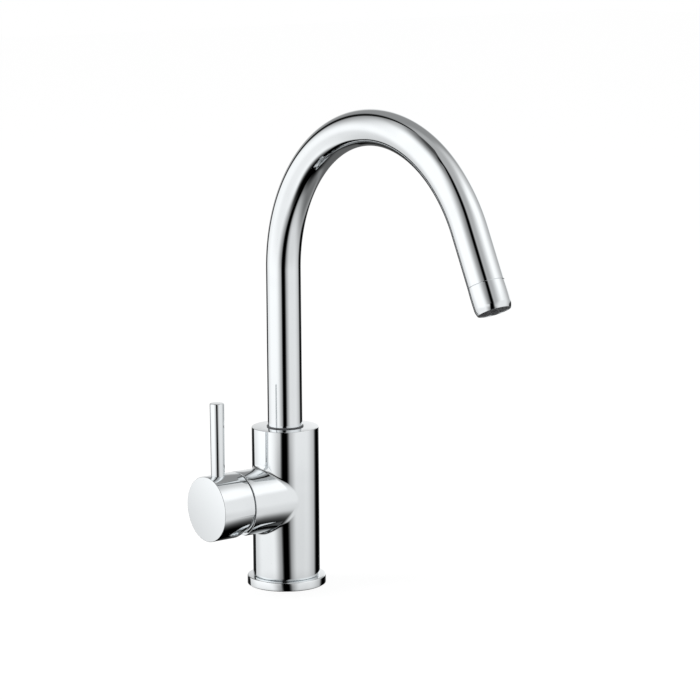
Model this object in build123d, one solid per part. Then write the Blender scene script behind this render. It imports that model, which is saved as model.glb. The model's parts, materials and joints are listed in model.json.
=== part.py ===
from build123d import *
import os
from math import atan2, cos, degrees, pi, radians, sin, tan

# Single-lever kitchen tap with a swan-neck spout and a waterway of its own for filtered water.
# Millimetres. The origin is the centre of the underside on the worktop, +Z is up, the spout reaches
# along +X and the handle stands out along -Y.

# ---- clearances
running = 0.05              # radial, of a running fit
sliding = 0.1               # between flat faces that slide
clear = 0.3                 # between pieces that only pass each other
thread_gap = 0.05
bore_gap = 0.05             # round what is pushed into a plain bore
film = 0.05                 # between the two lapped discs
overrun = 1.0               # how far a cut or a rib runs past the face that it meets

# ---- driving sizes: cartridge. Boss, cap and body are built up round its housing
housing_radius = 17.5       # a 35 mm cartridge
housing_wall = 1.9
cavity_gap = 0.2            # between the housing and its cavity
nut_step = 1.85             # from the cavity's wall to the nut's thread
dome_wall = 1.0
cap_clearance = 0.6         # between the dome and the hollow of the cap
cap_wall = 2.0
boss_inset = 0.8            # the body is wider than the boss by this much a side

base_thickness = 6.9
base_flange = 2.6
port_radius = 2.2
port_names = ("filtered_in", "cold", "mixed_out", "filtered_out", "hot")
first_port_angle = 270.0    # degrees from +X
port_edge = 3.0             # from the centre of a port to the edge of the moving disc
port_seal_radius = 3.3
port_seal_depth = 1.2
peg_radius = 1.6
peg_inset = 3.5
peg_length = 2.2
fixed_disc_thickness = 4.35
key_radius = 1.2
key_inset = 2.3
key_length = 2.0
moving_disc_room = 4.6      # round the moving disc, for its travel
moving_disc_thickness = 4.0
pocket_depth = 2.0
pocket_radius = 2.0
pocket_length = 4.2
driver_flat = 1.35          # cut off each side of the driver
driver_past_ball = 1.6
driver_floor = 0.8
rotor_flange = 2.1
rotor_skirt = 5.2
lip_width = 3.15            # of the housing's inner lip, which holds the rotor down
lip_thickness = 2.2
tower_inset = 1.95
tower_past_pivot = 4.6
nut_ledge = 0.75
nut_thickness = 3.8
nut_notches = 6
nut_notch_width = 3.0
nut_notch_depth = 1.6
mouth_depth = 1.4           # step in the boss that takes the foot of the dome
dome_opening = 5.0          # the dome is this much wider than the hole in it, a side

# ---- driving sizes: spindle
inner_arm = 12.0            # tilt axis to the ball that moves the disc
ball_radius = 3.4
ball_gap = 0.15
spindle_half = 3.5
spindle_neck = 2.6
spindle_square = 5.9        # the square starts this far inside the tilt axis
spindle_reach = 22.1        # and ends this far outside it
pivot_radius = 2.0
pivot_inset = 1.0

# ---- driving sizes: side boss and handle
handle_height = 64.1        # axis of boss, cartridge and handle above the worktop
boss_length = 43.0          # from the body's axis to the mouth of the boss
rim_edge = 0.45
boss_blend = 2.5            # radius where the boss grows out of the body
scoop_depth = 1.6           # the underside of the boss rises a little towards its mouth
scoop_length = 13.0
seam = 0.9                  # open gap between boss and cap
cap_length = 26.0
cap_edge = 0.5
tilt_range = 17.5           # degrees the lever tilts outwards to open
relief_margin = 1.1         # degrees by which the cap's lower back edge slopes more than the tilt
relief_start = 1.5          # below the axis
hub_radius = 9.0            # of the cap, round the end of the spindle
hub_start = 13.1            # from the tilt axis to the end of that hub
pin_setback = 15.5          # from the tilt axis to the pin
pin_length = 53.5
pin_radius = 5.05
pin_taper = 0.2
pin_edge = 0.6
pin_recess = 1.8            # the pin's foot is let into the cap
pin_thread_radius = 3.0
pin_thread_length = 3.4
grub_setback = 20.0
grub_radius = 1.9
grub_length = 8.0
hex_key_radius = 1.25       # of the sockets in both small screws
hex_key_depth = 3.0

# ---- driving sizes: body and base
foot_rounding = 1.2
top_edge = 0.4
ring_ledge = 4.25           # the base ring is wider than the body by this much a side
ring_height = 6.5
ring_edge = 0.8
seal_proud = 0.5            # how far the seal keeps the ring off the worktop
seal_thickness = 1.7
seal_margin = 0.95
seal_width = 4.3
spigot_step = 4.0           # the body's spigot centres the base ring
spigot_gap = 0.05
spigot_lift = 2.0
spigot_wall = 3.5           # round the hollow in the foot where the hoses screw in
underside_top = 14.0

# ---- driving sizes: inlets, fixing and drillings
inlet_circle = 9.0
inlet_radius = 4.5          # M10 x 1
inlet_depth = 14.0
stud_radius = 3.4           # M8
stud_depth = 18.0
waterway_radius = 2.4
waterway_end = 3.0          # a drilling runs this far past the one that crosses it
mixed_setback = 6.0         # how far behind the axis the mixed water rises into the spout

# ---- driving sizes: spout
socket_wall = 3.2           # between the cartridge's cavity and the floor of the spout's socket
socket_depth = 30.0
socket_gap = 0.4
tube_radius = 12.4
tube_wall = 1.3
rise_length = 114.0         # from the top of the body to the start of the arch
arch_radius = 107.0
arch_turn = 154.25
outlet_length = 56.0        # straight end of the spout, collar included
glide_flange = 0.4
glide_proud = 0.8
glide_sleeve = 6.0

# ---- driving sizes: foot of the spout. Heights are measured from its lower face
foot_gap = 2.0              # between that face and the floor of the socket
foot_length = 17.0
foot_spigot = 6.0
foot_spigot_wall = 2.1
hub_wall = 2.0
hub_low = 1.0
hub_seat = 11.0
hub_high = 14.0
rib_count = 3
rib_width = 2.0
rib_low = 2.0
rib_high = 10.0
o_ring_wire = 1.0
o_ring_heights = (11.6, 15.0)
o_ring_groove = 2.4
keeper_height = 6.3         # of the screw that keeps the spout down
keeper_groove = 4.2
keeper_groove_depth = 1.0
keeper_radius = 2.5
keeper_dog = 1.6
keeper_dog_length = 1.5
keeper_length = 8.2
low_glide_low = 0.9
low_glide_width = 2.2
low_glide_depth = 1.2

# ---- driving sizes: filtered waterway
filter_tube_radius = 3.5
filter_tube_bore = 2.4
feed_pipe_radius = 4.0
feed_pipe_bore = 2.0
feed_pipe_seat = 5.5
feed_pipe_high = 9.8
feed_ring_height = 7.0
feed_ring_wire = 0.55
feed_ring_groove = 1.2

# ---- driving sizes: aerator, measured along the outlet from the seam of its collar
collar_length = 18.8
collar_swell = 0.15
collar_lip_inset = 1.15
collar_lip_height = 4.2
collar_lip_width = 0.5
collar_shoulder = 7.4
collar_shoulder_width = 1.15
collar_spigot = 6.0
seam_edge = 0.25
insert_start = 9.2
insert_recess = 0.5
jet_rows = ((4.85, 12), (2.15, 18))         # in from the bore of the collar, number of jets
jet_radius = 0.75
nozzle_step = 15.0
screen_thickness = 0.6
screen_holes = 12
screen_hole_radius = 1.5
washer_thickness = 1.2
washer_lip = 0.6

# ---- worked out: radii, from the cartridge outwards and inwards
cavity_radius = housing_radius + cavity_gap
nut_radius = cavity_radius + nut_step
dome_radius = nut_radius + thread_gap + dome_wall
dome_hole = dome_radius - dome_opening
hollow_radius = dome_radius + cap_clearance
cap_radius = hollow_radius + cap_wall
boss_radius = cap_radius
body_radius = boss_radius + boss_inset
ring_radius = body_radius + ring_ledge
seal_outer = ring_radius - seal_margin
seal_inner = seal_outer - seal_width
spigot_radius = body_radius - spigot_step
underside_radius = spigot_radius - spigot_wall
peg_circle = housing_radius - peg_inset
housing_bore = housing_radius - housing_wall
fixed_disc_radius = housing_bore - clear
key_circle = fixed_disc_radius - key_inset
moving_disc_radius = housing_bore - moving_disc_room
port_circle = moving_disc_radius - port_edge
driver_half = moving_disc_radius - driver_flat
rotor_neck = housing_bore - lip_width
rotor_tower = rotor_neck - tower_inset
pivot_half = rotor_tower - pivot_inset
nut_bore = rotor_neck + nut_ledge

# ---- worked out: places along the handle's axis, from the seam inwards and outwards
pivot = boss_length + seam                  # the lever tilts about a pin in the plane of the cap's edge
ball = pivot - inner_arm
driver_front = ball + driver_past_ball
moving_front = ball - ball_radius - sliding - driver_floor
moving_back = moving_front - moving_disc_thickness
fixed_front = moving_back - film
base_front = fixed_front - fixed_disc_thickness
base_back = base_front - base_thickness
cavity_floor = base_back - clear
rotor_back = driver_front + clear
rotor_front = rotor_back + rotor_flange
lip_back = rotor_front + clear
lip_front = lip_back + lip_thickness
mouth_floor = boss_length - mouth_depth
cap_end = pivot + cap_length
pin_offset = pivot + pin_setback
grub_offset = pivot + grub_setback
spindle_end = pivot + spindle_reach
disc_travel = inner_arm * sin(radians(tilt_range))

# ---- worked out: heights and radii of the spout
socket_floor = handle_height + cavity_radius + socket_wall
body_height = socket_floor + socket_depth
foot_bottom = socket_floor + foot_gap
foot_top = foot_bottom + foot_length
rise_top = body_height + rise_length
socket_radius = tube_radius + socket_gap
glide_radius = socket_radius + glide_flange
tube_bore = tube_radius - tube_wall
foot_bore = tube_bore - foot_spigot_wall
hub_outer = feed_pipe_radius + hub_wall
collar_lip_radius = tube_radius - collar_lip_inset
collar_bore = collar_lip_radius - collar_lip_width
collar_shoulder_bore = collar_bore - collar_shoulder_width
washer_bore = collar_shoulder_bore - washer_lip
screen_hole_circle = (filter_tube_radius + collar_bore) / 2

# The ports share one circle, evenly spaced from the lowest one, seen in the plane of the discs.
ports = {}
for i, name in enumerate(port_names):
    port_angle = radians(first_port_angle + 360 * i / len(port_names))
    ports[name] = (port_circle * cos(port_angle), port_circle * sin(port_angle))

side = Plane(origin=(0, 0, handle_height), x_dir=(1, 0, 0), z_dir=(0, -1, 0)).location
spout_socket = Location((0, 0, foot_bottom))
turn = radians(arch_turn)
flow = Vector(sin(turn), 0, cos(turn))
arch_end = Vector(arch_radius * (1 - cos(turn)), 0, rise_top + arch_radius * sin(turn))
collar_seam = arch_end + flow * (outlet_length - collar_length)
outlet = Plane(origin=collar_seam, x_dir=(0, 1, 0), z_dir=flow).location

foot = (Align.CENTER, Align.CENTER, Align.MIN)


# ---- shapes that repeat
def rod(radius, low, high, x=0.0, y=0.0):
    return Pos(x, y, low) * Cylinder(radius, high - low, align=foot)


def pipe(outer, inner, low, high, x=0.0, y=0.0):
    return rod(outer, low, high, x, y) - rod(inner, low, high, x, y)


def block(low, high):
    size = [b - a for a, b in zip(low, high)]
    middle = [(a + b) / 2 for a, b in zip(low, high)]
    return Pos(*middle) * Box(*size)


def turned(outline):
    """Solid of revolution about Z from (radius, height) points in order round the section."""
    wire = Polyline(*[(r, 0, h) for r, h in outline], close=True)
    return revolve(make_face(wire), Axis.Z)


def o_ring(middle, wire, height):
    return Pos(0, 0, height) * Torus(middle, wire)


def drilling(start, end, radius):
    line = Line(start, end)
    return extrude(Plane(origin=start, z_dir=line % 0) * Circle(radius), amount=line.length)


def round_pattern(circle, count, shape):
    return [Rot(0, 0, 360 * i / count) * Pos(circle, 0, 0) * shape for i in range(count)]


def circle_edges(shape, radius, height):
    """Round edges of one radius that lie at one height along Z."""
    near = 0.01
    found = shape.edges().filter_by(GeomType.CIRCLE)
    return found.filter_by(lambda e: abs(e.radius - radius) < near and abs(e.center().Z - height) < near)


def crossing_edges(shape):
    """Where two round forms of a solid cross: closed edges that aren't circles."""
    return shape.edges().filter_by(lambda e: e.is_closed and e.geom_type != GeomType.CIRCLE)


def hex_socket(bottom):
    return extrude(Plane.XY.offset(bottom) * RegularPolygon(hex_key_radius, 6), hex_key_depth)


# ---- body and base
def body_casting():
    column = rod(body_radius, ring_height, body_height)
    column = fillet(circle_edges(column, body_radius, ring_height), foot_rounding)
    column = chamfer(circle_edges(column, body_radius, body_height), top_edge)
    boss = rod(boss_radius, 0, boss_length)
    boss = chamfer(circle_edges(boss, boss_radius, boss_length), rim_edge)
    slope = degrees(atan2(scoop_depth, scoop_length))
    scoop = Pos(0, scoop_depth - boss_radius, boss_length) * Rot(-slope, 0, 0)
    boss -= scoop * block((-boss_radius, -boss_radius, -boss_length), (boss_radius, 0, boss_radius))
    body = column + side * boss
    body = fillet(crossing_edges(body), boss_blend)
    body += rod(spigot_radius, spigot_lift, ring_height)

    body -= rod(underside_radius, spigot_lift, underside_top)
    inlets_top = underside_top + inlet_depth
    for x, y in ((-inlet_circle, 0), (inlet_circle, 0), (0, inlet_circle)):
        body -= rod(inlet_radius, underside_top, inlets_top, x, y)
    body -= rod(stud_radius, underside_top, underside_top + stud_depth, 0, -inlet_circle)

    # cavity of the cartridge, from the mouth inwards
    body -= side * rod(cavity_radius, cavity_floor, lip_front)
    body -= side * rod(nut_radius + thread_gap, lip_front, boss_length)
    body -= side * rod(dome_radius + thread_gap, mouth_floor, boss_length)
    for x in (-peg_circle, peg_circle):
        body -= side * rod(peg_radius + running, cavity_floor - peg_length - clear, cavity_floor, x)

    # waterways: up from the inlets, across to the cartridge, and up again to the spout
    for name, inlet_y in (("hot", 0), ("cold", 0), ("filtered_in", inlet_circle)):
        x, up = ports[name]
        body -= rod(waterway_radius, inlets_top, handle_height + up + waterway_end, x, inlet_y)
        body -= side * rod(port_radius, -inlet_y, cavity_floor, x, up)
    mixed_x, mixed_up = ports["mixed_out"]
    mixed_low = handle_height + mixed_up - waterway_end
    body -= rod(waterway_radius, mixed_low, socket_floor, mixed_x, mixed_setback)
    body -= side * rod(port_radius, -mixed_setback, cavity_floor, mixed_x, mixed_up)
    out_x, out_up = ports["filtered_out"]
    seat_floor = socket_floor - feed_pipe_seat
    start = Vector(out_x, 0, handle_height + out_up)
    end = Vector(0, 0, seat_floor + overrun)
    body -= drilling(start + (start - end).normalized() * waterway_end, end, waterway_radius)
    body -= side * rod(port_radius, 0, cavity_floor, out_x, out_up)

    # socket of the spout
    body -= rod(socket_radius, socket_floor, body_height)
    body -= rod(feed_pipe_radius, seat_floor, socket_floor)
    keeper_z = foot_bottom + keeper_height
    body -= drilling((-body_radius, 0, keeper_z), (overrun - socket_radius, 0, keeper_z), keeper_radius)
    return body


def base_ring():
    ring = pipe(ring_radius, spigot_radius + spigot_gap, seal_proud, ring_height)
    ring = fillet(circle_edges(ring, ring_radius, ring_height), ring_edge)
    return ring - pipe(seal_outer + running, seal_inner - running, seal_proud, seal_thickness)


def base_seal():
    return pipe(seal_outer, seal_inner, 0, seal_thickness)


def spout_glide_ring():
    sleeve = pipe(socket_radius, tube_radius + running, body_height - glide_sleeve, body_height)
    flange = pipe(glide_radius, tube_radius + running, body_height, body_height + glide_proud)
    return sleeve + flange


# ---- cartridge, in the frame of the handle: x right, y up, z outwards
def cartridge_base():
    shape = rod(housing_radius, base_back, base_back + base_flange)
    shape += rod(housing_bore, base_back + base_flange, base_front)
    for x, up in ports.values():
        shape -= rod(port_radius, base_back, base_front, x, up)
        shape -= rod(port_seal_radius + running, base_back, base_back + port_seal_depth, x, up)
    for x in (-peg_circle, peg_circle):
        shape += rod(peg_radius, cavity_floor - peg_length, base_back, x)
    for y in (-key_circle, key_circle):
        shape += rod(key_radius, base_front, base_front + key_length, 0, y)
    return shape


def cartridge_base_seals():
    floor = base_back + port_seal_depth
    return [pipe(port_seal_radius, port_radius, cavity_floor, floor, x, up) for x, up in ports.values()]


def cartridge_housing():
    shell = pipe(housing_radius, housing_bore, base_back + base_flange, lip_back)
    return shell + pipe(housing_radius, rotor_neck + running, lip_back, lip_front)


def fixed_disc():
    disc = rod(fixed_disc_radius, base_front, fixed_front)
    for x, up in ports.values():
        disc -= rod(port_radius, base_front, fixed_front, x, up)
    for y in (-key_circle, key_circle):
        disc -= rod(key_radius + running, base_front, base_front + key_length + clear, 0, y)
    return disc


def cartridge_nut():
    ring = pipe(nut_radius, nut_bore, lip_front, lip_front + nut_thickness)
    notch_floor = lip_front + nut_thickness - nut_notch_depth
    half = nut_notch_width / 2
    reach = (nut_radius - nut_bore) / 2
    notch = block((-reach, -half, notch_floor), (reach, half, notch_floor + nut_notch_depth))
    for cut in round_pattern(nut_bore, nut_notches, notch):
        ring -= cut
    return ring


def cartridge_dome():
    """Polished cover: a short cylinder that turns into a ball about the tilt axis, open for the spindle."""
    shape = rod(dome_radius, mouth_floor, pivot) + Pos(0, 0, pivot) * Sphere(dome_radius)
    inner = dome_radius - dome_wall
    shape -= rod(inner, mouth_floor, pivot) + Pos(0, 0, pivot) * Sphere(inner)
    shape -= rod(dome_hole, pivot, pivot + dome_radius)
    return shape & rod(dome_radius, mouth_floor, pivot + dome_radius)


def cartridge_rotor():
    shape = rod(housing_bore - clear, rotor_back, rotor_front)
    skirt_floor = rotor_back - rotor_skirt
    skirt = rod(housing_bore - clear, skirt_floor, rotor_back)
    wide = 2 * housing_bore
    guide = driver_half + sliding
    shape += skirt - block((-guide, -wide, skirt_floor), (guide, wide, rotor_back))
    shape += rod(rotor_neck, rotor_front, lip_front + clear)
    tower_end = pivot + tower_past_pivot
    shape += rod(rotor_tower, lip_front, tower_end)
    half = spindle_half + sliding
    slope = radians(tilt_range)
    below = (tower_end - pivot) * tan(slope) + spindle_half / cos(slope) + clear
    above = disc_travel + ball_radius + clear
    shape -= block((-half, -below, rotor_back), (half, above, tower_end))
    return shape - pivot_bore(pivot_half, pivot_radius)


def pivot_bore(half_length, radius):
    return Pos(0, 0, pivot) * Rot(0, 90, 0) * Cylinder(radius, 2 * half_length)


def pivot_pin():
    return pivot_bore(pivot_half, pivot_radius)


def disc_driver():
    disc = rod(moving_disc_radius, moving_front, driver_front)
    disc &= block((-driver_half, -moving_disc_radius, moving_front),
                  (driver_half, moving_disc_radius, driver_front))
    disc -= rod(ball_radius + ball_gap, moving_front + driver_floor, driver_front)
    for y in (-port_circle, port_circle):
        disc += rod(key_radius, moving_front - key_length, moving_front, 0, y)
    return disc


def moving_disc():
    disc = rod(moving_disc_radius, moving_back, moving_front)
    hole_floor = moving_front - key_length - clear
    for y in (-port_circle, port_circle):
        disc -= rod(key_radius + running, hole_floor, moving_front, 0, y)
    slot = SlotCenterToCenter(pocket_length, 2 * pocket_radius)
    pocket = Rot(0, 0, 90) * extrude(slot, pocket_depth)
    for name in ("mixed_out", "filtered_out"):
        x, up = ports[name]
        disc -= Pos(x, up - pocket_radius, moving_back) * pocket
    return disc


def spindle():
    square_start = pivot - spindle_square
    bar = block((-spindle_half, -spindle_half, square_start), (spindle_half, spindle_half, spindle_end))
    bar += rod(spindle_neck, ball, square_start)
    bar += Pos(0, 0, ball) * Sphere(ball_radius)
    return bar - pivot_bore(pivot_half, pivot_radius + running)


# ---- handle, in the same frame
def handle_cap():
    cap = rod(cap_radius, pivot, cap_end)
    cap = chamfer(circle_edges(cap, cap_radius, cap_end), cap_edge)
    # the lower back edge slopes away, so that it comes parallel to the boss when the lever is open
    wedge = block((-cap_radius, -2 * cap_radius, -cap_radius), (cap_radius, 0, 0))
    cap -= Pos(0, -relief_start, pivot) * Rot(-tilt_range - relief_margin, 0, 0) * wedge
    back_edges = circle_edges(cap, cap_radius, pivot) + cap.edges().filter_by(GeomType.ELLIPSE)
    cap = chamfer(back_edges, rim_edge)
    cap -= Pos(0, 0, pivot) * Sphere(hollow_radius)
    cap += rod(hub_radius, pivot + hub_start, pivot + hollow_radius)
    half = spindle_half + running
    cap -= block((-half, -half, pivot + hub_start), (half, half, spindle_end + clear))
    pin_floor = cap_radius - pin_recess
    thread_floor = pin_floor - pin_thread_length - clear
    cap -= upright(pin_radius - pin_taper + running, pin_floor, cap_radius, pin_offset)
    cap -= upright(pin_thread_radius + thread_gap, thread_floor, pin_floor, pin_offset)
    cap -= upright(grub_radius + thread_gap, -cap_radius, -spindle_half, grub_offset)
    return cap


def upright(radius, low, high, offset):
    """Round piece that stands square to the handle's axis, at an offset along it."""
    return Pos(0, (low + high) / 2, offset) * Rot(90, 0, 0) * Cylinder(radius, high - low)


def lever_pin():
    pin = Cone(pin_radius - pin_taper, pin_radius, pin_length, align=foot)
    pin = fillet(circle_edges(pin, pin_radius, pin_length), pin_edge)
    pin += rod(pin_thread_radius, -pin_thread_length, 0)
    return Pos(0, cap_radius - pin_recess, pin_offset) * Rot(-90, 0, 0) * pin


def handle_grub_screw():
    low = -spindle_half - running - grub_length
    screw = rod(grub_radius, 0, grub_length) - hex_socket(0)
    return Pos(0, low, grub_offset) * Rot(-90, 0, 0) * screw


# ---- spout
def along_spout(outer, inner, low, outlet_reach):
    """Tube along the spout's centre line, from a height in the rise to a point along the outlet."""
    rise = pipe(outer, inner, low, rise_top)
    section = Pos(0, 0, rise_top) * (Circle(outer) - Circle(inner))
    arch = revolve(section, Axis((arch_radius, 0, rise_top), (0, 1, 0)), arch_turn)
    end = Plane(origin=arch_end, x_dir=(0, 1, 0), z_dir=flow).location * pipe(outer, inner, 0, outlet_reach)
    return rise + arch + end


def spout_tube():
    tube = along_spout(tube_radius, tube_bore, foot_top, outlet_length - collar_length)
    return tube - outlet * seam_cut(tube_radius)


def seam_cut(radius):
    """Fine bevel each side of the seam, as one V groove round the outside."""
    return turned([(radius + seam_edge, -2 * seam_edge), (radius + seam_edge, 2 * seam_edge),
                   (radius - seam_edge, 0)])


def filtered_water_tube():
    outlet_reach = outlet_length - collar_length + nozzle_step
    return along_spout(filter_tube_radius, filter_tube_bore, foot_bottom + hub_seat, outlet_reach)


# ---- what sits in the spout's socket, in the frame of the spout's foot: z is 0 at its lower face
def spout_foot():
    shape = pipe(tube_radius, foot_bore, 0, foot_length)
    shape += pipe(tube_bore, foot_bore, foot_length, foot_length + foot_spigot)
    shape += rod(hub_outer, hub_low, hub_high)
    half = rib_width / 2
    rib = block((-overrun, -half, rib_low), (foot_bore - hub_outer + overrun, half, rib_high))
    for copy in round_pattern(hub_outer, rib_count, rib):
        shape += copy
    shape -= rod(feed_pipe_radius + running, hub_low, hub_seat)
    shape -= rod(filter_tube_radius, hub_seat, hub_high)
    for height in o_ring_heights:
        shape -= groove(height, o_ring_groove, 2 * o_ring_wire - socket_gap + running)
    shape -= groove(keeper_height, keeper_groove, keeper_groove_depth)
    return shape - groove(low_glide_low + low_glide_width / 2, low_glide_width, low_glide_depth)


def groove(height, width, depth):
    return pipe(tube_radius + overrun, tube_radius - depth, height - width / 2, height + width / 2)


def spout_o_rings():
    middle = socket_radius - running - o_ring_wire
    return [o_ring(middle, o_ring_wire, height) for height in o_ring_heights]


def spout_lower_glide_ring():
    low, high = low_glide_low, low_glide_low + low_glide_width
    return pipe(socket_radius - running, tube_radius - low_glide_depth, low, high)


def spout_retaining_screw():
    """Its dog end runs in the foot's groove, so the spout swivels but can't lift out."""
    dog_end = tube_radius - keeper_groove_depth + socket_gap
    screw = rod(keeper_radius - thread_gap, 0, keeper_length) + rod(keeper_dog, -keeper_dog_length, 0)
    screw -= hex_socket(keeper_length - hex_key_depth)
    return Pos(-dog_end - keeper_dog_length, 0, keeper_height) * Rot(0, -90, 0) * screw


def filter_feed_pipe():
    shape = pipe(feed_pipe_radius, feed_pipe_bore, -foot_gap - feed_pipe_seat, feed_pipe_high)
    half = feed_ring_groove / 2
    groove_floor = feed_pipe_radius - 2 * feed_ring_wire
    return shape - pipe(feed_pipe_radius, groove_floor, feed_ring_height - half, feed_ring_height + half)


def filter_pipe_o_ring():
    return o_ring(feed_pipe_radius - feed_ring_wire, feed_ring_wire, feed_ring_height)


# ---- aerator, in the frame of the outlet: z runs with the water, 0 at the collar's seam
def aerator_collar():
    barrel_end = collar_length - collar_lip_height
    swell = (tube_radius + collar_swell, 0, barrel_end / 2)
    outside = Spline((tube_radius, 0, 0), swell, (tube_radius, 0, barrel_end),
                     (collar_lip_radius, 0, collar_length))
    inside = Polyline((collar_lip_radius, 0, collar_length), (collar_bore, 0, collar_length),
                      (collar_bore, 0, collar_shoulder), (collar_shoulder_bore, 0, collar_shoulder),
                      (collar_shoulder_bore, 0, -collar_spigot), (tube_bore, 0, -collar_spigot),
                      (tube_bore, 0, 0), (tube_radius, 0, 0))
    collar = revolve(make_face(outside + inside), Axis.Z)
    return collar - seam_cut(tube_radius)


def aerator_washer():
    return pipe(collar_bore - bore_gap, washer_bore, collar_shoulder, collar_shoulder + washer_thickness)


def aerator_screen():
    top = insert_start - screen_thickness
    screen = pipe(collar_bore - bore_gap, filter_tube_radius + bore_gap, top, insert_start)
    for hole in round_pattern(screen_hole_circle, screen_holes, rod(screen_hole_radius, top, insert_start)):
        screen -= hole
    return screen


def aerator_insert():
    end = collar_length - insert_recess
    body = rod(collar_bore - bore_gap, insert_start, end)
    body -= rod(filter_tube_radius, insert_start, nozzle_step)
    body -= rod(filter_tube_bore, nozzle_step, end)
    for inset, count in jet_rows:
        for jet in round_pattern(collar_bore - inset, count, rod(jet_radius, insert_start, end)):
            body -= jet
    return body


# ---- the nodes, by the frame that each is drawn in
in_tap_frame = [body_casting, base_ring, base_seal, spout_glide_ring, spout_tube, filtered_water_tube]
in_socket_frame = [spout_foot, spout_o_rings, spout_lower_glide_ring, spout_retaining_screw,
                   filter_feed_pipe, filter_pipe_o_ring]
in_handle_frame = [cartridge_base, cartridge_base_seals, cartridge_housing, fixed_disc, moving_disc,
                   disc_driver, cartridge_rotor, pivot_pin, spindle, cartridge_nut, cartridge_dome,
                   handle_cap, lever_pin, handle_grub_screw]
in_outlet_frame = [aerator_collar, aerator_washer, aerator_screen, aerator_insert]
frames = [(Location((0, 0, 0)), in_tap_frame), (spout_socket, in_socket_frame),
          (side, in_handle_frame), (outlet, in_outlet_frame)]


def placed(location, made):
    pieces = made if isinstance(made, list) else [made]
    solids = [solid for piece in pieces for solid in (location * piece).solids()]
    return solids[0] if len(solids) == 1 else Compound(children=solids)


os.makedirs("parts", exist_ok=True)
for location, makers in frames:
    for maker in makers:
        export_step(placed(location, maker()), f"parts/{maker.__name__}.step")

tube_start = foot_bottom + hub_seat
full_length = rise_top - tube_start + arch_radius * turn + outlet_length - collar_length + nozzle_step
expected = pi * (filter_tube_radius**2 - filter_tube_bore**2) * full_length
print(f"filtered water tube {full_length:.1f} mm long, volume over section times length "
      f"{filtered_water_tube().volume / expected:.5f}")
print(f"disc travel {disc_travel:.2f} mm for {tilt_range} degrees, "
      f"{disc_travel / radians(tilt_range):.3f} mm for each radian")
lip = collar_seam + flow * collar_length
print(f"outlet at x {lip.X:.1f}, z {lip.Z:.1f}, top of the spout {rise_top + arch_radius + tube_radius:.1f}")
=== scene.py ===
import json
import bmesh
import bpy
from math import acos, asin, atan2, cos, degrees, pi, radians, sin, sqrt, tan
from mathutils import Matrix, Vector


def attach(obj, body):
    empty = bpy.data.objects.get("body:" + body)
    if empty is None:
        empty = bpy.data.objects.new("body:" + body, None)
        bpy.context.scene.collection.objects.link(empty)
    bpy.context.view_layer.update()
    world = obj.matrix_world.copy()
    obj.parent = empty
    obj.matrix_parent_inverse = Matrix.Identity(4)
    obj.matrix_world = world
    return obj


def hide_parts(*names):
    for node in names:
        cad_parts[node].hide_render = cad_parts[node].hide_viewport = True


# Single-lever kitchen tap in polished chrome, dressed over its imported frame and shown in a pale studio.
# The meshes end up in metres, in the frame's own axes. Sizes are written in millimetres, angles in degrees.

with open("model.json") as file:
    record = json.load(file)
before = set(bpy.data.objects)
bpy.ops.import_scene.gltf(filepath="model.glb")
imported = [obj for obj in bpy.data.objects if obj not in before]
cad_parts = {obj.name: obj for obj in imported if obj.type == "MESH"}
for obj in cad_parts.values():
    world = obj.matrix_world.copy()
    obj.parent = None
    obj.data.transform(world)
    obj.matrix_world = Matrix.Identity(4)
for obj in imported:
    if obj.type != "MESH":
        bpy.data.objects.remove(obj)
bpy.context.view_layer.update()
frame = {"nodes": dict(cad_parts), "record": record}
nodes = frame["nodes"]
mm = 0.001
quarter = pi / 2
near = 0.000001       # metres; points closer than this count as one
handleHeight = 64.1   # of the axis that the handle turns round
pinOut = 59.4         # from the column's axis to the pin's


def stageNote(text):
    print("tap:", text)


# shader maths: a socket that takes + - * and **, and adds the nodes itself
class Sock:
    def __init__(self, tree, socket):
        self.tree = tree
        self.socket = socket

    def math(self, operation, *others, clamp=False):
        values = {0: self, **{i + 1: other for i, other in enumerate(others)}}
        return self.tree.add("ShaderNodeMath", {"operation": operation, "use_clamp": clamp}, values)

    def __add__(self, other):
        return self.math("ADD", other)

    __radd__ = __add__

    def __sub__(self, other):
        return self.math("SUBTRACT", other)

    def __rsub__(self, other):
        return self.math("MULTIPLY_ADD", -1.0, other)

    def __mul__(self, other):
        return self.math("MULTIPLY", other)

    __rmul__ = __mul__

    def __pow__(self, other):
        return self.math("POWER", other)

    def clamp(self):
        return self.math("ADD", 0.0, clamp=True)

    def other(self, name):
        # another output of the same node
        return Sock(self.tree, self.socket.node.outputs[name])

    def ramp(self, low, high):
        # 0 up to low, 1 from high on, smooth between; low may be the higher one
        ends = (low, high, 0.0, 1.0) if low < high else (high, low, 1.0, 0.0)
        values = {0: self, **{i + 1: end for i, end in enumerate(ends)}}
        return self.tree.add("ShaderNodeMapRange", {"interpolation_type": "SMOOTHSTEP"}, values)


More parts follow.
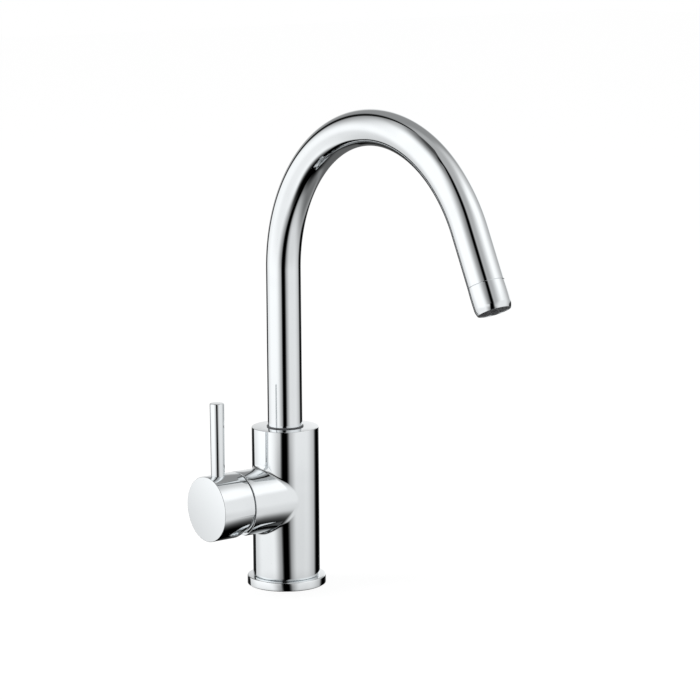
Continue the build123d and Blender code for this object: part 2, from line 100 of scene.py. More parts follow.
class Tree:
    def __init__(self, owner):
        owner.use_nodes = True
        self.nodes = owner.node_tree.nodes
        self.links = owner.node_tree.links
        self.nodes.clear()

    def add(self, kind, settings=None, values=None, out=0):
        node = self.nodes.new(kind)
        for key, value in (settings or {}).items():
            if key == "stops":
                ramp = node.color_ramp
                while len(ramp.elements) < len(value):
                    ramp.elements.new(0.5)
                for element, (place, colour) in zip(ramp.elements, value):
                    element.position = place
                    element.color = (*colour, 1.0)
            else:
                setattr(node, key, value)
        for key, value in (values or {}).items():
            if isinstance(value, Sock):
                self.links.new(value.socket, node.inputs[key])
            else:
                node.inputs[key].default_value = value
        return Sock(self, node.outputs[out])

    def place(self):
        return self.add("ShaderNodeTexCoord", out="Object")

    def parts(self, vector):
        split = self.add("ShaderNodeSeparateXYZ", {}, {0: vector})
        return [split, split.other("Y"), split.other("Z")]

    def turned(self, setup):
        # object coordinates seen from a piece's own axis: z runs along it, x and y across
        here = self.add("ShaderNodeVectorMath", {"operation": "SUBTRACT"},
                        {0: self.place(), 1: Vector(setup["middle"]) * mm})
        turn = Vector(setup["axis"]).to_track_quat("Z", "Y").inverted().to_euler()
        return self.add("ShaderNodeMapping", {}, {"Vector": here, "Rotation": turn})

    def noise(self, vector, scale, detail=3.0, rough=0.55):
        values = {"Vector": vector, "Scale": scale, "Detail": detail, "Roughness": rough}
        return self.add("ShaderNodeTexNoise", {}, values)

    def stretched(self, vector, factors):
        return self.add("ShaderNodeVectorMath", {"operation": "MULTIPLY"}, {0: vector, 1: factors})

    def colours(self, amount, stops):
        return self.add("ShaderNodeValToRGB", {"stops": stops}, {0: amount})

    def bump(self, height, distance, strength):
        values = {"Height": height, "Distance": distance, "Strength": strength}
        return self.add("ShaderNodeBump", {}, values)

    def finish(self, shader, kind="ShaderNodeOutputMaterial"):
        end = self.nodes.new(kind)
        self.links.new(shader.socket, end.inputs["Surface"])


# bright plate, clean in its tint and dim where it is wiped dull. A pair of numbers is where a pattern sets in
# and where it is full; "lines" and "ripple" say how fine the buffing lines are and how strong the ripple is.
chromeLook = {
    "tint": (0.845, 0.872, 0.887), "dim": (0.795, 0.822, 0.838), "rough": 0.030,
    "cloud": 26.0, "cloudDull": (0.50, 0.72), "cloudShare": 0.5,
    "cloudHaze": (0.42, 0.74), "cloudRough": 0.022,
    "lineDetail": 2.0, "lineHaze": (0.50, 0.78), "lineRough": 0.030,
    "wipe": 70.0, "wipeStretch": (1.0, 1.0, 0.25), "wipeDetail": 4.0, "wipeGrit": 0.6,
    "wipeDull": (0.56, 0.74), "wipeShare": 0.3,
    "speck": 900.0, "speckDetail": 1.0, "speckEdge": (0.74, 0.80), "speckShare": 0.6,
    "speckRough": 0.12, "speckHeight": 0.4,
    "ripple": 95.0, "rippleDetail": 1.0, "rippleHeight": 0.0000035, "rippleStrength": 0.5,
}
chromeFinishes = {
    "body": {"axis": (0, 0, 1), "middle": (0, 0, 0), "lines": 900.0, "ripple": 1.0},
    "spout": {"axis": (0, 0, 1), "middle": (0, 0, 0), "lines": 500.0, "ripple": 0.7},
    "handle": {"axis": (0, -1, 0), "middle": (0, 0, handleHeight), "lines": 1200.0, "ripple": 0.6},
    "pin": {"axis": (0, 0, 1), "middle": (0, -pinOut, 100), "lines": 1400.0, "ripple": 0.5},
    "outlet": {"axis": (0.4344, 0, -0.9007), "middle": (219.5, 0, 242), "lines": 1100.0, "ripple": 0.6},
}


def chromeMaterial(name, look, setup):
    # buffing lines run round the axis, with cloudy wear, a faint ripple and a few dust specks
    material = bpy.data.materials.new(name)
    tree = Tree(material)
    here = tree.turned(setup)
    x, y, z = tree.parts(here)
    cloud = tree.noise(here, look["cloud"])
    away = (x * x + y * y) ** 0.5
    along = tree.add("ShaderNodeCombineXYZ", {}, {0: away, 1: z, 2: 0.0})
    lines = tree.noise(along, setup["lines"], look["lineDetail"])
    smeared = tree.stretched(here, look["wipeStretch"])
    wiped = tree.noise(smeared, look["wipe"], look["wipeDetail"], look["wipeGrit"])
    specks = tree.noise(here, look["speck"], look["speckDetail"]).ramp(*look["speckEdge"])
    dull = (cloud.ramp(*look["cloudDull"]) * look["cloudShare"]
            + wiped.ramp(*look["wipeDull"]) * look["wipeShare"]
            + specks * look["speckShare"]).clamp()
    colour = tree.colours(dull, [(0.0, look["tint"]), (1.0, look["dim"])])
    rough = (cloud.ramp(*look["cloudHaze"]) * look["cloudRough"]
             + lines.ramp(*look["lineHaze"]) * look["lineRough"]
             + specks * look["speckRough"] + look["rough"])
    ripple = (tree.noise(here, look["ripple"], look["rippleDetail"]) * setup["ripple"]
              + specks * look["speckHeight"])
    normal = tree.bump(ripple, look["rippleHeight"], look["rippleStrength"])
    tree.finish(tree.add("ShaderNodeBsdfPrincipled", {}, {
        "Base Color": colour, "Metallic": 1.0, "Roughness": rough, "Normal": normal}))
    return material


metalLooks = {
    "bareBrass": {"dark": (0.50, 0.36, 0.16), "light": (0.78, 0.61, 0.33), "rough": 0.24, "turning": 1400.0},
    "stainless": {"dark": (0.42, 0.42, 0.41), "light": (0.66, 0.66, 0.65), "rough": 0.26, "turning": 2200.0},
}
turnedLook = {
    "stretch": (0.25, 1.0, 1.0), "markDetail": 2.0, "markShare": 0.3,
    "markHeight": 0.00002, "markStrength": 0.6,
    "cloud": 130.0, "cloudDetail": 4.0, "cloudGrit": 0.6, "cloudEdge": (0.40, 0.75), "cloudShare": 0.7,
    "lightStop": 0.15, "darkStop": 0.9, "tarnishRough": 0.2,
}


def turnedMetal(name, look, shared):
    # fine turning marks, darker in the hollows, with small tarnished clouds
    material = bpy.data.materials.new(name)
    tree = Tree(material)
    here = tree.place()
    marks = tree.noise(tree.stretched(here, shared["stretch"]), look["turning"], shared["markDetail"])
    cloud = tree.noise(here, shared["cloud"], shared["cloudDetail"], shared["cloudGrit"])
    tarnish = (cloud.ramp(*shared["cloudEdge"]) * shared["cloudShare"] + marks * shared["markShare"]).clamp()
    colour = tree.colours(tarnish, [(shared["lightStop"], look["light"]), (shared["darkStop"], look["dark"])])
    rough = tarnish * shared["tarnishRough"] + look["rough"]
    normal = tree.bump(marks, shared["markHeight"], shared["markStrength"])
    tree.finish(tree.add("ShaderNodeBsdfPrincipled", {}, {
        "Base Color": colour, "Metallic": 1.0, "Roughness": rough, "Normal": normal}))
    return material


mouldedLooks = {
    "blackRubber": {"dark": (0.018, 0.018, 0.018), "light": (0.055, 0.055, 0.057),
                    "rough": 0.55, "grain": 2200.0, "deep": 0.00003},
    "greyPlastic": {"dark": (0.085, 0.088, 0.094), "light": (0.150, 0.154, 0.162),
                    "rough": 0.38, "grain": 1500.0, "deep": 0.00002},
    "whitePlastic": {"dark": (0.72, 0.72, 0.69), "light": (0.86, 0.86, 0.84),
                     "rough": 0.34, "grain": 1300.0, "deep": 0.00002},
    "darkPlastic": {"dark": (0.030, 0.031, 0.034), "light": (0.135, 0.138, 0.145),
                    "rough": 0.42, "grain": 1700.0, "deep": 0.00004},
    "ceramic": {"dark": (0.80, 0.79, 0.75), "light": (0.91, 0.90, 0.87),
                "rough": 0.10, "grain": 2600.0, "deep": 0.000004},
}
grainLook = {
    "detail": 2.0, "grit": 0.6, "edge": (0.3, 0.7), "share": 0.45, "strength": 0.7, "rough": 0.16,
    "drift": 90.0, "driftShare": 0.55, "darkStop": 0.25, "lightStop": 0.75,
}


def mouldedMaterial(name, look, shared):
    # moulded or lapped surface: a fine grain, slow colour drift and slightly shinier high spots
    material = bpy.data.materials.new(name)
    tree = Tree(material)
    here = tree.place()
    grain = tree.noise(here, look["grain"], shared["detail"], shared["grit"])
    drift = tree.noise(here, shared["drift"])
    mix = (drift * shared["driftShare"] + grain.ramp(*shared["edge"]) * shared["share"]).clamp()
    colour = tree.colours(mix, [(shared["darkStop"], look["dark"]), (shared["lightStop"], look["light"])])
    rough = look["rough"] + grain * shared["rough"]
    normal = tree.bump(grain, look["deep"], shared["strength"])
    tree.finish(tree.add("ShaderNodeBsdfPrincipled", {}, {
        "Base Color": colour, "Roughness": rough, "Normal": normal}))
    return material


metalSlots = {"bare_brass": "bareBrass", "stainless": "stainless"}
mouldedSlots = {"black_rubber": "blackRubber", "grey_plastic": "greyPlastic", "white_plastic": "whitePlastic",
                "dark_plastic": "darkPlastic", "ceramic": "ceramic"}

chrome = {key: chromeMaterial(key + "Chrome", chromeLook, setup) for key, setup in chromeFinishes.items()}
slotFinish = {"polished_chrome": chrome["body"]}
for slot, name in metalSlots.items():
    slotFinish[slot] = turnedMetal(name, metalLooks[name], turnedLook)
for slot, name in mouldedSlots.items():
    slotFinish[slot] = mouldedMaterial(name, mouldedLooks[name], grainLook)

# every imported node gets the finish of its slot; the rebuilt pieces below take the place of some of them
for part in frame["record"]["subparts"]:
    for materialSlot in nodes[part["node"]].material_slots:
        materialSlot.material = slotFinish[part["material_slot"]]
stageNote(f"{len(nodes)} nodes have their finishes")


# modelling helpers
smoothAngle = 28      # edges sharper than this stay sharp
joinGap = 0.000002    # metres; points of a spun piece that are nearer are joined
past = 1              # how far a cutter passes the skin that it opens


def deselect():
    if bpy.context.object and bpy.context.object.mode != "OBJECT":
        bpy.ops.object.mode_set(mode="OBJECT")
    bpy.ops.object.select_all(action="DESELECT")


def takeUp(piece):
    deselect()
    piece.select_set(True)
    bpy.context.view_layer.objects.active = piece


def editPiece(piece):
    takeUp(piece)
    bpy.ops.object.mode_set(mode="EDIT")
    bpy.ops.mesh.select_all(action="SELECT")


def tidyMesh(gap):
    # in edit mode: closes the joins, turns the faces outwards and goes back to object mode
    bpy.ops.mesh.select_all(action="SELECT")
    bpy.ops.mesh.remove_doubles(threshold=gap)
    bpy.ops.mesh.dissolve_degenerate(threshold=gap / 2)
    bpy.ops.mesh.select_all(action="SELECT")
    bpy.ops.mesh.normals_make_consistent(inside=False)
    bpy.ops.object.mode_set(mode="OBJECT")


def rounded(corners, steps):
    # outline with its corners rounded: each corner is (radius from the axis, height, rounding)
    points = []
    for i, (r, h, edge) in enumerate(corners):
        here = Vector((r, h))
        if not edge:
            points.append(here)
            continue
        back = (Vector(corners[i - 1][:2]) - here).normalized()
        on = (Vector(corners[(i + 1) % len(corners)][:2]) - here).normalized()
        half = back.angle(on) / 2
        reach = edge / tan(half)
        middle = here + (back + on).normalized() * (edge / sin(half))
        start, end = here + back * reach - middle, here + on * reach - middle
        swing = start.angle(end)
        for k in range(steps + 1):
            t = k / steps
            points.append(middle + (start * sin((1 - t) * swing) + end * sin(t * swing)) / sin(swing))
    return points


def lathePiece(name, outline, steps, place=None):
    # a point is drawn along the outline in edit mode, then spun round the axis; closed outlines come back to
    # their start, open ones begin and end on the axis
    deselect()
    bpy.ops.mesh.primitive_plane_add(size=mm, location=(outline[0][0] * mm, 0, outline[0][1] * mm))
    piece = bpy.context.object
    piece.name = piece.data.name = name
    bpy.ops.object.transform_apply(location=True)
    bpy.ops.object.mode_set(mode="EDIT")
    bpy.ops.mesh.merge(type="CENTER")
    path = [Vector((p[0], 0, p[1])) * mm for p in outline]
    if outline[0][0] > 0:
        path.append(path[0])
    for start, end in zip(path, path[1:]):
        bpy.ops.mesh.extrude_vertices_move(TRANSFORM_OT_translate={"value": end - start})
    bpy.ops.mesh.select_all(action="SELECT")
    bpy.ops.mesh.spin(steps=steps, angle=2 * pi, center=(0, 0, 0), axis=(0, 0, 1))
    tidyMesh(joinGap)
    if place is not None:
        piece.data.transform(place)
    return piece


def rodCutter(radius, low, high, steps, place=None):
    return lathePiece("cutter", [(0, low), (radius, low), (radius, high), (0, high)], steps, place)


def cutOut(piece, cutter):
    # takes the cutter out of the piece, with a boolean that is applied
    takeUp(piece)
    cut = piece.modifiers.new("cut", "BOOLEAN")
    cut.operation = "DIFFERENCE"
    cut.solver = "EXACT"
    cut.object = cutter
    bpy.ops.object.modifier_apply(modifier=cut.name)
    bpy.data.objects.remove(cutter)


def finishPiece(piece, body, material, replaced):
    takeUp(piece)
    bpy.ops.object.shade_smooth_by_angle(angle=radians(smoothAngle))
    if not piece.data.materials:   # the body brings its own two
        piece.data.materials.append(material)
    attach(piece, body)
    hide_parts(replaced)
    stageNote(f"{piece.name}: {len(piece.data.polygons)} faces")


# the handle's own frame: z runs outwards along its axis
handlePlace = Matrix(((1, 0, 0, 0), (0, 0, -1, 0), (0, 1, 0, handleHeight * mm), (0, 0, 0, 1)))

# body and boss: one casting, with a rolling-ball blend where the boss leaves the column. The blend opens out
# from "blend" to "sideBlend" between the "opens" angles, counted from the boss's top, and closes again
# between the "closes" angles.
bodySizes = {
    "radius": 24.0, "low": 6.5, "top": 115.0, "foot": 1.2, "edge": 0.4, "edgeSteps": 5, "back": 96,
    "boss": 23.2, "mouth": 43.0, "rim": 0.45, "around": 192, "rimSteps": 5, "wallSteps": 4,
    "blend": 2.5, "sideBlend": 8.5, "opens": (38, 84), "closes": (100, 140), "blendSteps": 10,
    "spigot": 20.0, "spigotLow": 2.0,
    # the scoop is cut with a block, which is moved by shares of its own size
    "scoop": 1.6, "scoopLength": 13.0, "scoopBlock": (60, 10, 21), "scoopShift": (0, -0.5, -0.26),
    # bores behind the boss's mouth, as radius and distance from the column's axis
    "bores": [(17.7, 12.0), (17.7, 38.4), (19.6, 38.4), (19.6, 41.6), (20.65, 41.6), (20.65, 44.0)],
    "socket": 12.8, "socketLow": 85.0, "hollow": 16.5, "hollowRoof": 14.0, "boreSteps": 128,
    "inlets": [(-9.0, 0.0), (9.0, 0.0), (0.0, 9.0)], "stud": (0.0, -9.0),
    "inletThread": {"drill": 4.5, "crest": 4.95, "pitch": 1.0, "turns": 14, "lead": 0.5, "around": 40},
    "studThread": {"drill": 3.4, "crest": 3.95, "pitch": 1.25, "turns": 14, "lead": 0.5, "around": 40},
    "keeper": 2.5, "keeperHeight": 93.3, "keeperReach": (12, 25), "keeperSteps": 32,
}


def chooseVerts(piece, test):
    bpy.ops.mesh.select_all(action="DESELECT")
    mesh = bmesh.from_edit_mesh(piece.data)
    turn = mesh.verts.layers.float["turn"]
    for v in mesh.verts:
        if test(v, v[turn]):
            v.select = True
    mesh.select_flush(True)
    bmesh.update_edit_mesh(piece.data)


def nextRing(piece, spot):
    # extrudes the chosen edges and sets each new point from its turn round the boss and the place it left
    bpy.ops.mesh.extrude_region_move()
    mesh = bmesh.from_edit_mesh(piece.data)
    turn = mesh.verts.layers.float["turn"]
    for v in mesh.verts:
        if v.select:
            v.co = spot(v[turn], v.co)
    bmesh.update_edit_mesh(piece.data)


def bossPoint(angle, radius, out):
    return Vector((radius * sin(angle), -out, handleHeight + radius * cos(angle))) * mm


def columnPoint(place, radius, height):
    away = Vector((place.x, place.y)).normalized() * radius
    return Vector((away.x, away.y, height)) * mm


def eased(value, low, high):
    t = min(max((value - low) / (high - low), 0), 1)
    return t * t * (3 - 2 * t)


def blendPoint(angle, t, size):
    # point of the blend at t, 0 on the boss and 1 on the column
    fromTop = degrees(acos(max(-1, min(1, cos(angle)))))
    wide = eased(fromTop, *size["opens"]) * (1 - eased(fromTop, *size["closes"]))
    ball = size["blend"] + (size["sideBlend"] - size["blend"]) * wide
    x = (size["boss"] + ball) * sin(angle)
    y = -sqrt((size["radius"] + ball) ** 2 - x * x)
    middle = Vector((x, y, handleHeight + (size["boss"] + ball) * cos(angle)))
    toBoss = Vector((-sin(angle), 0, -cos(angle)))
    toColumn = Vector((-x, -y, 0)).normalized()
    swing = toBoss.angle(toColumn)
    spoke = (toBoss * sin((1 - t) * swing) + toColumn * sin(t * swing)) / sin(swing)
    return (middle + spoke * ball) * mm


def bodyShell(size):
    # starts as a ring at the boss's mouth and grows rim, wall and blend from it
    deselect()
    bpy.ops.mesh.primitive_circle_add(vertices=size["around"], radius=size["boss"] * mm)
    piece = bpy.context.object
    piece.name = piece.data.name = "tapBody"
    turn = piece.data.attributes.new("turn", "FLOAT", "POINT")
    turn.data.foreach_set("value", [2 * pi * i / size["around"] for i in range(size["around"])])
    editPiece(piece)
    mesh = bmesh.from_edit_mesh(piece.data)
    layer = mesh.verts.layers.float["turn"]
    boss, mouth, rim = size["boss"], size["mouth"], size["rim"]
    for v in mesh.verts:
        v.co = bossPoint(v[layer], boss - rim, mouth)
    bmesh.update_edit_mesh(piece.data)
    for k in range(1, size["rimSteps"] + 1):
        a = quarter * k / size["rimSteps"]
        nextRing(piece, lambda angle, co: bossPoint(angle, boss - rim + rim * sin(a),
                                                    mouth - rim + rim * cos(a)))
    for k in range(1, size["wallSteps"] + 1):
        t = k / size["wallSteps"]
        nextRing(piece, lambda angle, co: bossPoint(angle, boss, mouth - rim).lerp(
            blendPoint(angle, 0, size), t))
    for k in range(1, size["blendSteps"] + 1):
        nextRing(piece, lambda angle, co: blendPoint(angle, k / size["blendSteps"], size))

    # from the blend's edge up and down the column
    for height, side in ((size["top"] - size["edge"], 1), (size["low"] + size["foot"], -1)):
        chooseVerts(piece, lambda v, angle: (v.co - blendPoint(angle, 1, size)).length < near
                    and side * cos(angle) > -near)
        nextRing(piece, lambda angle, co: columnPoint(co, size["radius"], height))
    # round the back, from one side of the blend to the other
    edgeX = blendPoint(quarter, 1, size).x
    chooseVerts(piece, lambda v, angle: abs(degrees(angle - quarter)) < 0.01 and abs(v.co.x - edgeX) < near)
    swing = 2 * pi - 2 * asin(edgeX / (size["radius"] * mm))
    bpy.ops.mesh.spin(steps=size["back"], angle=-swing, center=(0, 0, 0), axis=(0, 0, 1))
    bpy.ops.mesh.select_all(action="SELECT")
    bpy.ops.mesh.remove_doubles(threshold=near)
    # rounded top edge and foot, then the spigot and the ends
    for height, edge, sign in ((size["top"], size["edge"], 1), (size["low"], size["foot"], -1)):
        start = (height - sign * edge) * mm
        chooseVerts(piece, lambda v, angle: abs(v.co.z - start) < near)
        for k in range(1, size["edgeSteps"] + 1):
            a = quarter * k / size["edgeSteps"]
            ring = size["radius"] - edge + edge * cos(a)
            level = height - sign * edge * (1 - sin(a))
            nextRing(piece, lambda angle, co: columnPoint(co, ring, level))
        if sign < 0:
            for level in (size["low"], size["spigotLow"]):
                nextRing(piece, lambda angle, co: columnPoint(co, size["spigot"], level))
        bpy.ops.mesh.edge_face_add()
    chooseVerts(piece, lambda v, angle: v.co.y < -(mouth * mm) + near)
    bpy.ops.mesh.edge_face_add()
    tidyMesh(near)
    piece.data.materials.append(chrome["body"])
    return piece


def scoopBoss(piece, size):
    # underside of the boss, rising to its mouth
    deselect()
    bpy.ops.mesh.primitive_cube_add(size=1)
    scoop = bpy.context.object
    scoop.data.transform(Matrix.Translation(size["scoopShift"]))
    scoop.data.transform(Matrix.Diagonal((*(side * mm for side in size["scoopBlock"]), 1)))
    slope = atan2(size["scoop"], size["scoopLength"])
    corner = Vector((0, size["scoop"] - size["boss"], size["mouth"])) * mm
    scoop.data.transform(handlePlace @ Matrix.Translation(corner) @ Matrix.Rotation(-slope, 4, "X"))
    cutOut(piece, scoop)


def threadCutter(thread, low, place):
    drill, crest, pitch, turns = thread["drill"], thread["crest"], thread["pitch"], thread["turns"]
    outline = [(0, low - thread["lead"]), (drill, low - thread["lead"])]
    for k in range(turns):
        outline += [(drill, low + pitch * k), (crest, low + pitch * (k + 0.5))]
    outline += [(drill, low + pitch * turns), (0, low + pitch * turns)]
    return lathePiece("cutter", outline, thread["around"], Matrix.Translation(Vector((*place, 0)) * mm))


def boreBody(piece, size):
    # bores for cartridge, spout foot and hoses, the keeper's hole and the threads, all in bare brass
    steps, roof = size["boreSteps"], size["hollowRoof"]
    bores = [(0, size["bores"][0][1]), *size["bores"], (0, size["bores"][-1][1])]
    across = Matrix.Translation((0, 0, size["keeperHeight"] * mm)) @ Matrix.Rotation(-quarter, 4, "Y")
    cutters = [lathePiece("cutter", bores, steps, handlePlace),
               rodCutter(size["socket"], size["socketLow"], size["top"] + past, steps),
               rodCutter(size["hollow"], size["spigotLow"] - past, roof, steps),
               rodCutter(size["keeper"], *size["keeperReach"], size["keeperSteps"], across),
               threadCutter(size["studThread"], roof, size["stud"])]
    cutters += [threadCutter(size["inletThread"], roof, spot) for spot in size["inlets"]]
    for cutter in cutters:
        cutter.data.materials.append(slotFinish["bare_brass"])
        cutOut(piece, cutter)


tapBody = bodyShell(bodySizes)
scoopBoss(tapBody, bodySizes)
boreBody(tapBody, bodySizes)
finishPiece(tapBody, "tap_body", chrome["body"], "body_casting")


# base ring, with the groove for its seal underneath
ringSizes = {"radius": 28.25, "bore": 20.05, "low": 0.5, "top": 6.5, "edge": 0.8, "footEdge": 0.2,
             "groove": (22.95, 27.35), "grooveTop": 1.7, "edgeSteps": 6, "around": 192}


def ringOutline(size):
    inner, outer = size["groove"]
    return [(outer, size["low"], 0), (size["radius"], size["low"], size["footEdge"]),
            (size["radius"], size["top"], size["edge"]), (size["bore"], size["top"], 0),
            (size["bore"], size["low"], 0), (inner, size["low"], 0),
            (inner, size["grooveTop"], 0), (outer, size["grooveTop"], 0)]


baseRing = lathePiece("baseRing", rounded(ringOutline(ringSizes), ringSizes["edgeSteps"]),
                      ringSizes["around"])
finishPiece(baseRing, "tap_body", chrome["body"], "base_ring")


# ring that the spout turns in: a sleeve in the socket with a narrow flange on the body's top
glideSizes = {"bore": 12.45, "sleeve": 12.8, "flange": 13.2, "low": 109.0, "seat": 115.0, "top": 115.8,
              "edge": 0.25, "underEdge": 0.1, "boreEdge": 0.1, "edgeSteps": 4, "around": 128}


def glideOutline(size):
    return [(size["bore"], size["low"], 0), (size["sleeve"], size["low"], 0),
            (size["sleeve"], size["seat"], 0), (size["flange"], size["seat"], size["underEdge"]),
            (size["flange"], size["top"], size["edge"]), (size["bore"], size["top"], size["boreEdge"])]


glideRing = lathePiece("spoutGlideRing", rounded(glideOutline(glideSizes), glideSizes["edgeSteps"]),
                       glideSizes["around"])
finishPiece(glideRing, "tap_body", slotFinish["grey_plastic"], "spout_glide_ring")


# handle: cap, dome behind it and the pin that moves it; heights run along the handle's axis
capSizes = {
    "radius": 23.2, "start": 43.9, "end": 69.9, "rim": 0.45, "edge": 0.5, "edgeSteps": 5, "around": 192,
    "hollow": 21.2, "hollowSteps": 24, "hub": 9.0, "hubStart": 57.0, "square": 3.55, "squareEnd": 66.3,
    "reliefStart": 1.5, "relief": 18.6, "reliefRim": 0.36, "reliefRimSteps": 3, "skin": 0.01,
    "pinHole": {"radius": 4.9, "low": 21.4, "high": 24.2, "out": pinOut, "around": 64},
    "grubHole": {"radius": 1.95, "low": -24.0, "high": -3.4, "out": 63.9, "around": 40},
}


def ballArc(radius, middle, start, end, steps):
    # points of a ball's outline between two radii from the axis, on its outer half
    first, last = acos(start / radius), acos(end / radius)
    turns = [first + (last - first) * k / steps for k in range(steps + 1)]
    return [(radius * cos(turn), middle + radius * sin(turn)) for turn in turns]


def crossHole(piece, hole):
    # drilled at right angles to the cap's axis
    upright = Matrix.Translation((0, 0, hole["out"] * mm)) @ Matrix.Rotation(-quarter, 4, "X")
    cutOut(piece, rodCutter(hole["radius"], hole["low"], hole["high"], hole["around"], upright))


def reliefCut(piece, size):
    # lower back edge slopes away, to come parallel to the boss when the lever is open
    tilt = radians(size["relief"])
    through = Vector((0, -size["reliefStart"], size["start"])) * mm
    across = Vector((0, sin(tilt), cos(tilt)))
    skin = (size["radius"] - size["skin"]) * mm
    editPiece(piece)
    bpy.ops.mesh.bisect(plane_co=through, plane_no=across, use_fill=True, clear_inner=True)
    bpy.ops.mesh.select_all(action="DESELECT")
    mesh = bmesh.from_edit_mesh(piece.data)
    for e in mesh.edges:
        ends = [v.co for v in e.verts]
        onCut = all(abs((p - through).dot(across)) < near for p in ends)
        if onCut and all(sqrt(p.x * p.x + p.y * p.y) > skin for p in ends):
            e.select = True
    bmesh.update_edit_mesh(piece.data)
    bpy.ops.mesh.bevel(offset=size["reliefRim"] * mm, segments=size["reliefRimSteps"], affect="EDGES")
    tidyMesh(near)


def squareHole(piece, size):
    # takes the spindle
    deselect()
    depth = size["squareEnd"] - size["hubStart"] + past
    bpy.ops.mesh.primitive_cube_add(size=1)
    square = bpy.context.object
    square.data.transform(Matrix.Diagonal((2 * size["square"] * mm, 2 * size["square"] * mm, depth * mm, 1)))
    square.data.transform(Matrix.Translation((0, 0, (size["squareEnd"] - depth / 2) * mm)))
    cutOut(piece, square)


def capOutline(size):
    hollow = [(r, h, 0) for r, h in
              ballArc(size["hollow"], size["start"], size["hub"], size["hollow"], size["hollowSteps"])]
    return [(0, size["hubStart"], 0), (size["hub"], size["hubStart"], 0), *hollow,
            (size["radius"], size["start"], size["rim"]), (size["radius"], size["end"], size["edge"]),
            (0, size["end"], 0)]


handleCap = lathePiece("handleCap", rounded(capOutline(capSizes), capSizes["edgeSteps"]), capSizes["around"])
reliefCut(handleCap, capSizes)
crossHole(handleCap, capSizes["pinHole"])
crossHole(handleCap, capSizes["grubHole"])
squareHole(handleCap, capSizes)
handleCap.data.transform(handlePlace)
finishPiece(handleCap, "lever", chrome["handle"], "handle_cap")


domeSizes = {"outer": 20.6, "inner": 19.6, "hole": 15.6, "foot": 41.6, "middle": 43.9,
             "steps": 20, "around": 160}


def domeOutline(size):
    inner, outer, middle, hole = size["inner"], size["outer"], size["middle"], size["hole"]
    return [(inner, size["foot"]), (outer, size["foot"]), *ballArc(outer, middle, outer, hole, size["steps"]),
            *ballArc(inner, middle, hole, inner, size["steps"])]


cartridgeDome = lathePiece("cartridgeDome", domeOutline(domeSizes), domeSizes["around"], handlePlace)
finishPiece(cartridgeDome, "tap_body", chrome["handle"], "cartridge_dome")


# the pin stands upright on the cap, a little wider at its top
pinSizes = {"spigot": 3.0, "low": 82.1, "shoulder": 85.5, "foot": 4.85, "radius": 5.05, "top": 139.0,
            "edge": 0.6, "edgeSteps": 6, "around": 96}


def pinOutline(size):
    return [(0, size["low"], 0), (size["spigot"], size["low"], 0), (size["spigot"], size["shoulder"], 0),
            (size["foot"], size["shoulder"], 0), (size["radius"], size["top"], size["edge"]),
            (0, size["top"], 0)]


leverPin = lathePiece("leverPin", rounded(pinOutline(pinSizes), pinSizes["edgeSteps"]), pinSizes["around"],
                      Matrix.Translation((0, -pinOut * mm, 0)))
finishPiece(leverPin, "lever", chrome["pin"], "lever_pin")


# spout: one tube, up, over the arch and down to the seam of the outlet
spoutSizes = {
    "radius": 12.4, "wall": 1.3, "low": 104.0, "riseTop": 229.0, "arch": 107.0, "turn": 154.25,
    "straight": 37.2, "seamEdge": 0.25, "around": 128, "riseSteps": 5, "archSteps": 170,
}
spoutTurn = radians(spoutSizes["turn"])
flow = Vector((sin(spoutTurn), 0, cos(spoutTurn)))   # way of the water at the tip
archMiddle = Vector((spoutSizes["arch"], 0, spoutSizes["riseTop"])) * mm
archEnd = archMiddle + Vector((-cos(spoutTurn), 0, sin(spoutTurn))) * spoutSizes["arch"] * mm
seamPoint = archEnd + flow * spoutSizes["straight"] * mm


def spoutTube(size):
    deselect()
    bpy.ops.mesh.primitive_circle_add(vertices=size["around"], radius=size["radius"] * mm,
                                      location=(0, 0, size["low"] * mm))
    piece = bpy.context.object
    piece.name = piece.data.name = "spoutTube"
    bpy.ops.object.transform_apply()
    editPiece(piece)
    rise = (size["riseTop"] - size["low"]) * mm / size["riseSteps"]
    for k in range(size["riseSteps"]):
        bpy.ops.mesh.extrude_region_move(TRANSFORM_OT_translate={"value": (0, 0, rise)})
    bpy.ops.mesh.spin(steps=size["archSteps"], angle=-spoutTurn, center=archMiddle, axis=(0, 1, 0))
    for length in (size["straight"] - size["seamEdge"], size["seamEdge"]):
        bpy.ops.mesh.extrude_region_move(TRANSFORM_OT_translate={"value": flow * length * mm})
    shrink = 1 - size["seamEdge"] / size["radius"]
    bpy.ops.transform.resize(value=(shrink, shrink, shrink), center_override=seamPoint)
    tidyMesh(joinGap)
    wall = piece.modifiers.new("wall", "SOLIDIFY")
    wall.thickness = size["wall"] * mm
    wall.offset = -1
    takeUp(piece)
    bpy.ops.object.modifier_apply(modifier=wall.name)
    finishPiece(piece, "spout", chrome["spout"], "spout_tube")


spoutTube(spoutSizes)


# collar of the outlet, in its own frame: z runs with the water from the seam
outletPlace = Matrix(((0, -flow.z, flow.x, seamPoint.x), (1, 0, 0, 0), (0, flow.x, flow.z, seamPoint.z),
                      (0, 0, 0, 1)))
collarSizes = {
    "radius": 12.4, "seamEdge": 0.25, "swell": 0.15, "barrel": 14.6, "barrelSteps": 24,
    "end": 18.8, "noseSteps": 14, "nosePower": 1.7, "lip": 11.25, "lipEdge": 0.12,
    "bore": 10.75, "boreEdge": 0.15, "shoulder": 7.4, "shoulderBore": 9.6,
    "spigot": 11.1, "spigotEnd": -6.0, "edgeSteps": 4, "around": 160,
}


